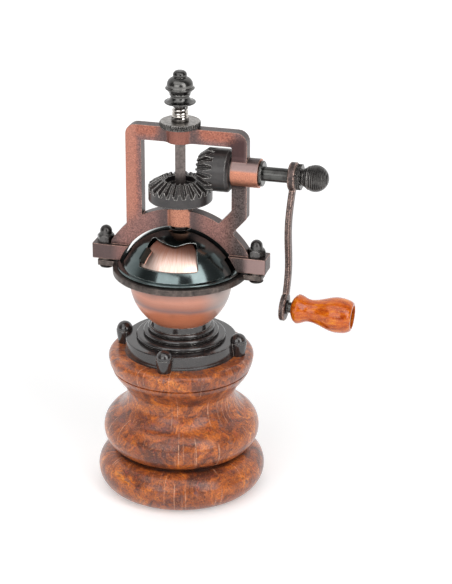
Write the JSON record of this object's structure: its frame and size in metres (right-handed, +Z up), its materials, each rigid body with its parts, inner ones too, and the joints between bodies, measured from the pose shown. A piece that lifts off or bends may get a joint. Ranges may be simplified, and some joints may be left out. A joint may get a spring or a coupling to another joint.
{
  "type": "hand crank coffee grinder",
  "caption": "Hand crank grinder: turned wooden base, round hopper with a sliding door, open cast yoke, bevel gears, S-shaped crank with a turned grip, and conical burrs in the base.",
  "frame": {"origin": "centre of the wooden foot on the surface it stands on, on the axis of the drive shaft", "axes": "+Z up along the drive shaft, +X along the crank axle towards the handle, -Y to the front with the hopper door"},
  "size_m": [0.1196, 0.077, 0.1981],
  "materials": {
    "burl_wood": "satin varnish over figured burl wood",
    "handle_wood": "clear gloss varnish over orange stained wood",
    "black_casting": "gloss black nickel plate on a casting",
    "copper_casting": "antique copper plate on a casting, rubbed bright on the faces",
    "bronze_casting": "dark antique bronze plate",
    "copper_sheet": "polished and lacquered copper",
    "brushed_copper": "brushed copper",
    "black_chrome": "mirror polished black chrome",
    "black_steel": "black oxide",
    "bright_steel": "bright wire",
    "steel": "plain drawn steel",
    "burr_iron": "hardened grey iron"
  },
  "bodies": {
    "base": {"wood_base": "burl_wood", "base_flange": "black_casting", "flange_screws": "black_steel", "hopper_bowl": "copper_sheet", "clamp_ring": "bronze_casting", "hopper_dome": "black_chrome", "door_pivot": "steel", "yoke_frame": "copper_casting", "ear_bolts": "black_steel", "acorn_nuts": "bronze_casting", "outer_burr": "burr_iron", "burr_bridge": "bronze_casting", "bridge_screws": "steel"},
    "door": {"hopper_door": "brushed_copper"},
    "crank": {"pinion_gear": "black_casting", "crank_axle": "black_steel", "thrust_washer": "steel", "axle_collar": "black_steel", "crank_arm": "bronze_casting", "ball_nut": "black_casting", "handle_pin": "black_steel"},
    "grip": {"handle_grip": "handle_wood"},
    "gear": {"crown_gear": "black_casting"},
    "shaft": {"drive_shaft": "steel", "inner_burr": "burr_iron", "shaft_nut": "steel", "tension_spring": "bright_steel"},
    "adjuster": {"adjusting_nut": "black_steel", "spring_cup": "black_steel"},
    "finial": {"finial_knob": "black_casting"}
  },
  "joints": [
    {"name": "crank_spin", "type": "hinge", "parent": "base", "child": "crank", "pos_m": [0.0241, 0, 0.1545], "axis": [1, 0, 0], "continuous": true},
    {"name": "gear_spin", "type": "hinge", "parent": "base", "child": "gear", "pos_m": [0, 0, 0.1395], "axis": [0, 0, 1], "continuous": true},
    {"name": "grip_spin", "type": "hinge", "parent": "crank", "child": "grip", "pos_m": [0.04797, 0, 0.09279], "axis": [0.9986, 0, -0.0523], "continuous": true},
    {"name": "door_slide", "type": "hinge", "parent": "base", "child": "door", "pos_m": [0, 0, 0.1226], "axis": [0, 0, 1], "range_deg": [0, 58]},
    {"name": "adjust_turn", "type": "hinge", "parent": "gear", "child": "adjuster", "pos_m": [0, 0, 0.17285], "axis": [0, 0, 1], "range_deg": [-180, 180]},
    {"name": "shaft_lift", "type": "slide", "parent": "gear", "child": "shaft", "axis": [0, 0, 1], "range_m": [-0.0004, 0.0004], "deforming": ["tension_spring"]},
    {"name": "finial_turn", "type": "hinge", "parent": "shaft", "child": "finial", "pos_m": [0, 0, 0.1818], "axis": [0, 0, 1], "range_deg": [-180, 180]}
  ],
  "couplings": [
    {"joint": "gear_spin", "follows": "crank_spin", "ratio": 0.66667},
    {"joint": "adjust_turn", "follows": "shaft_lift", "rad_per_m": -7850}
  ]
}
